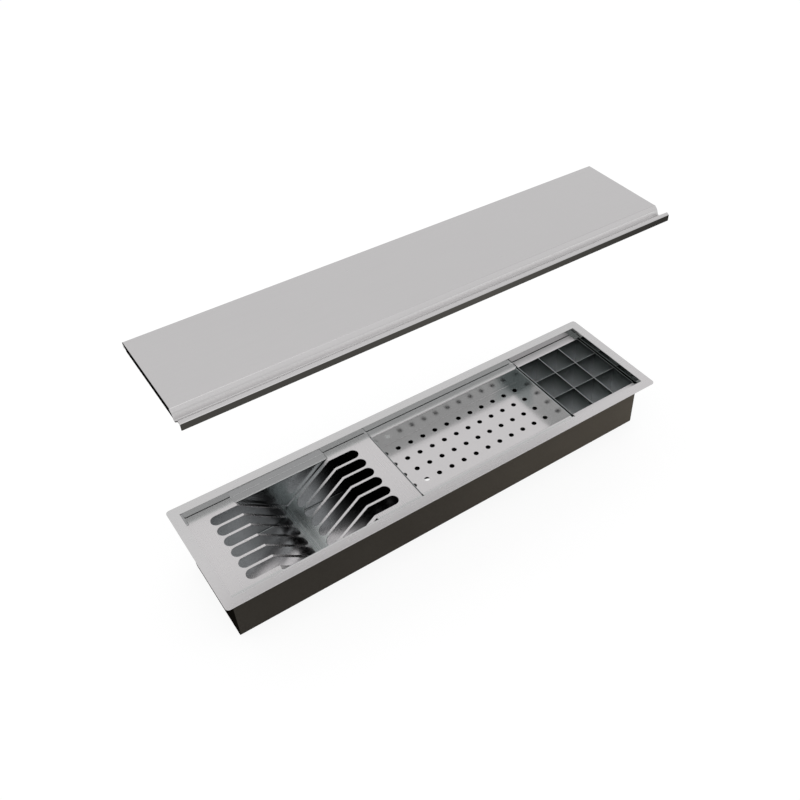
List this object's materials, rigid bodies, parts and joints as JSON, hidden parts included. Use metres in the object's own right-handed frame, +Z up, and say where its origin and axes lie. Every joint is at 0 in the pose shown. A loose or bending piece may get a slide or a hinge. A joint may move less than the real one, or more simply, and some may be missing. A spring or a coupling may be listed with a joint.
{
  "type": "recessed wet trough",
  "caption": "Long stainless wet trough for a worktop cut-out, with slotted V plate rack, perforated basket, divided box and flush lid with a finger channel.",
  "frame": {"origin": "centre of the trough's underside", "axes": "+X along the trough to the right, +Y to the rear, +Z up out of the worktop"},
  "size_m": [0.82, 0.22, 0.4478],
  "materials": {
    "trough_steel": "brushed",
    "tray_steel": "satin",
    "lid_steel": "brushed",
    "deadening_coat": "matt sprayed",
    "seal_foam": "closed-cell foam",
    "stud_steel": "zinc plated",
    "damping_pad": "matt"
  },
  "bodies": {
    "trough": {"rim_flange": "trough_steel", "trough_wrap": "trough_steel", "left_end_panel": "trough_steel", "right_end_panel": "trough_steel", "deadening_wrap": "deadening_coat", "deadening_left": "deadening_coat", "deadening_right": "deadening_coat", "rim_seal": "seal_foam", "clamp_studs": "stud_steel"},
    "rack": {"plate_rack": "tray_steel"},
    "basket": {"basket_wrap": "tray_steel", "basket_left_end": "tray_steel", "basket_right_end": "tray_steel"},
    "box": {"box_wrap": "tray_steel", "box_left_end": "tray_steel", "box_right_end": "tray_steel", "front_divider": "tray_steel", "rear_divider": "tray_steel", "left_divider": "tray_steel", "right_divider": "tray_steel"},
    "lid": {"lid_panel": "lid_steel", "lid_damping_pad": "damping_pad"}
  },
  "joints": [
    {"name": "rack_play", "type": "slide", "parent": "trough", "child": "rack", "axis": [1, 0, 0], "range_m": [-0.0003, 0.0004]},
    {"name": "basket_play", "type": "slide", "parent": "trough", "child": "basket", "axis": [1, 0, 0], "range_m": [-0.0004, 0.0013]},
    {"name": "box_play", "type": "slide", "parent": "trough", "child": "box", "axis": [1, 0, 0], "range_m": [-0.0016, 0.0019]},
    {"name": "lid_lift", "type": "slide", "parent": "trough", "child": "lid", "axis": [0, 0, 1], "range_m": [-0.3368, 0]}
  ]
}
